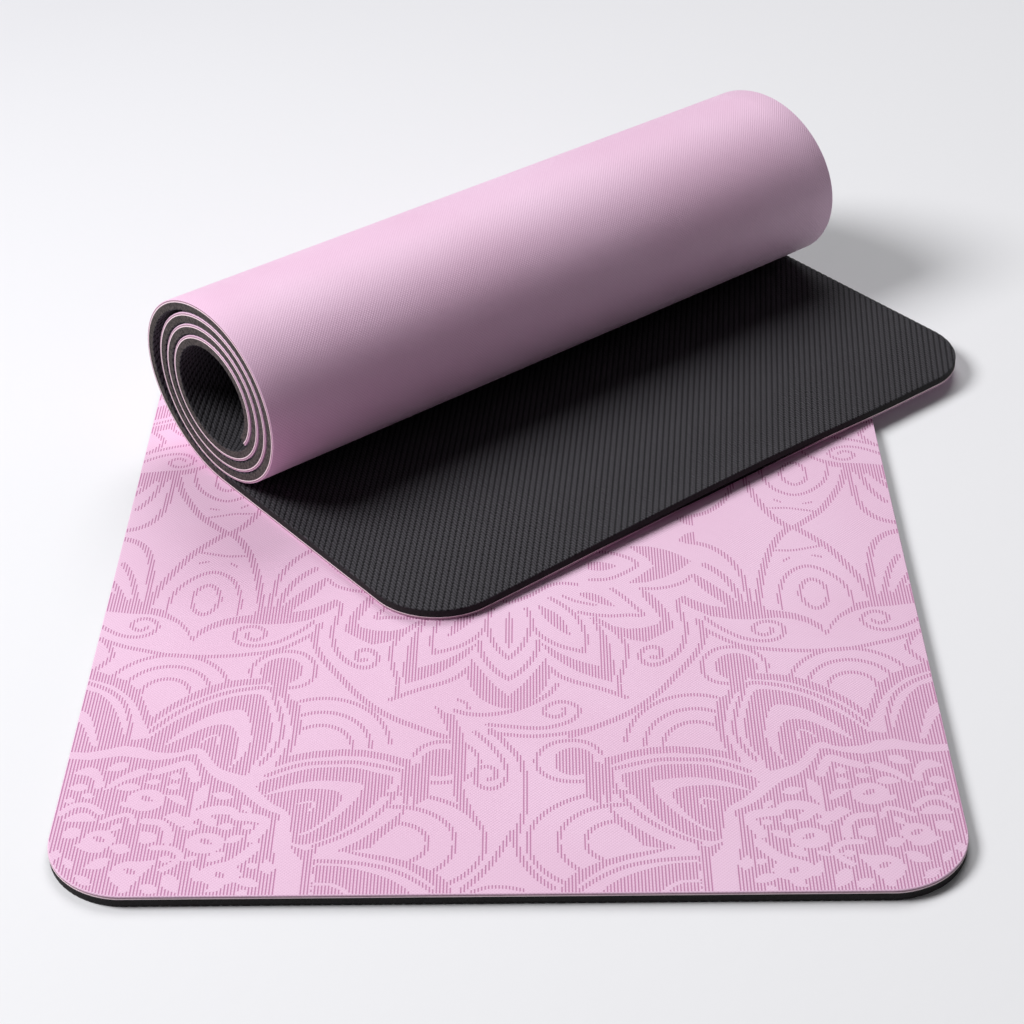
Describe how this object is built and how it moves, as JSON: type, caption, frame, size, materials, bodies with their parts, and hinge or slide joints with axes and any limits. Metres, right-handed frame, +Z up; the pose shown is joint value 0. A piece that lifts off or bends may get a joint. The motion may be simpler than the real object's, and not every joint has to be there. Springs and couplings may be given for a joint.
{
  "type": "rolled and flat exercise mat pair",
  "caption": "Exercise mat of skin, scrim and ribbed rubber lying flat, with a second such mat rolled up on it, its free end left out and able to wrap on.",
  "frame": {"origin": "centre of the flat mat's underside, on the floor", "axes": "+Z up; +X along the axis of the roll, away from the end that shows its spiral; the roll's free end lies towards -Y; the flat mat is turned 39 degrees clockwise about Z, its front edge towards its own -Y"},
  "size_m": [0.9432, 0.9288, 0.1679],
  "materials": {
    "skin": "soft matte polyurethane with a fine grain",
    "scrim": "bonded textile, seen only as a thin line at the edge",
    "rubber": "matte, with diagonal ribs on the outside"
  },
  "bodies": {
    "flat_mat": {"flat_mat_skin": "skin", "flat_mat_scrim": "scrim", "flat_mat_rubber": "rubber"},
    "edge_a": {"edge_a_skin": "skin", "edge_a_scrim": "scrim", "edge_a_rubber": "rubber"},
    "edge_b": {"edge_b_skin": "skin", "edge_b_scrim": "scrim", "edge_b_rubber": "rubber"},
    "edge_c": {"edge_c_skin": "skin", "edge_c_scrim": "scrim", "edge_c_rubber": "rubber"},
    "roll": {"roll_skin": "skin", "roll_scrim": "scrim", "roll_rubber": "rubber"},
    "flap_a": {"flap_a_skin": "skin", "flap_a_scrim": "scrim", "flap_a_rubber": "rubber"},
    "flap_b": {"flap_b_skin": "skin", "flap_b_scrim": "scrim", "flap_b_rubber": "rubber"},
    "flap_c": {"flap_c_skin": "skin", "flap_c_scrim": "scrim", "flap_c_rubber": "rubber"},
    "flap_d": {"flap_d_skin": "skin", "flap_d_scrim": "scrim", "flap_d_rubber": "rubber"},
    "flap_e": {"flap_e_skin": "skin", "flap_e_scrim": "scrim", "flap_e_rubber": "rubber"},
    "flap_f": {"flap_f_skin": "skin", "flap_f_scrim": "scrim", "flap_f_rubber": "rubber"}
  },
  "joints": [
    {"name": "lift_rolled_mat", "type": "slide", "parent": "flat_mat", "child": "roll", "axis": [0, 0, 1], "range_m": [0, 0.3]},
    {"name": "bend_edge_a", "type": "hinge", "parent": "flat_mat", "child": "edge_a", "pos_m": [-0.14537, -0.17952, 0.009], "axis": [-0.7771, 0.6293, 0], "range_deg": [0, 30]},
    {"name": "bend_edge_b", "type": "hinge", "parent": "edge_a", "child": "edge_b", "pos_m": [-0.17684, -0.21838, 0.009], "axis": [-0.7771, 0.6293, 0], "range_deg": [0, 30]},
    {"name": "bend_edge_c", "type": "hinge", "parent": "edge_b", "child": "edge_c", "pos_m": [-0.2083, -0.25723, 0.009], "axis": [-0.7771, 0.6293, 0], "range_deg": [0, 30]},
    {"name": "bend_flap_a", "type": "hinge", "parent": "roll", "child": "flap_a", "pos_m": [0.185, 0.201, 0.0183], "axis": [-1, 0, 0], "range_deg": [0, 28.5]},
    {"name": "bend_flap_b", "type": "hinge", "parent": "flap_a", "child": "flap_b", "pos_m": [0.185, 0.15933, 0.0183], "axis": [-1, 0, 0], "range_deg": [0, 24.5]},
    {"name": "bend_flap_c", "type": "hinge", "parent": "flap_b", "child": "flap_c", "pos_m": [0.185, 0.11767, 0.0183], "axis": [-1, 0, 0], "range_deg": [0, 38.5]},
    {"name": "bend_flap_d", "type": "hinge", "parent": "flap_c", "child": "flap_d", "pos_m": [0.185, 0.076, 0.0183], "axis": [-1, 0, 0], "range_deg": [0, 31]},
    {"name": "bend_flap_e", "type": "hinge", "parent": "flap_d", "child": "flap_e", "pos_m": [0.185, 0.03433, 0.0183], "axis": [-1, 0, 0], "range_deg": [0, 30]},
    {"name": "bend_flap_f", "type": "hinge", "parent": "flap_e", "child": "flap_f", "pos_m": [0.185, -0.00733, 0.0183], "axis": [-1, 0, 0], "range_deg": [0, 21]}
  ],
  "couplings": [
    {"joint": "bend_edge_b", "follows": "bend_edge_a", "ratio": 1},
    {"joint": "bend_edge_c", "follows": "bend_edge_a", "ratio": 1},
    {"joint": "bend_flap_b", "follows": "bend_flap_a", "ratio": 0.8596},
    {"joint": "bend_flap_c", "follows": "bend_flap_a", "ratio": 1.3508},
    {"joint": "bend_flap_d", "follows": "bend_flap_a", "ratio": 1.0877},
    {"joint": "bend_flap_e", "follows": "bend_flap_a", "ratio": 1.0526},
    {"joint": "bend_flap_f", "follows": "bend_flap_a", "ratio": 0.7368}
  ]
}
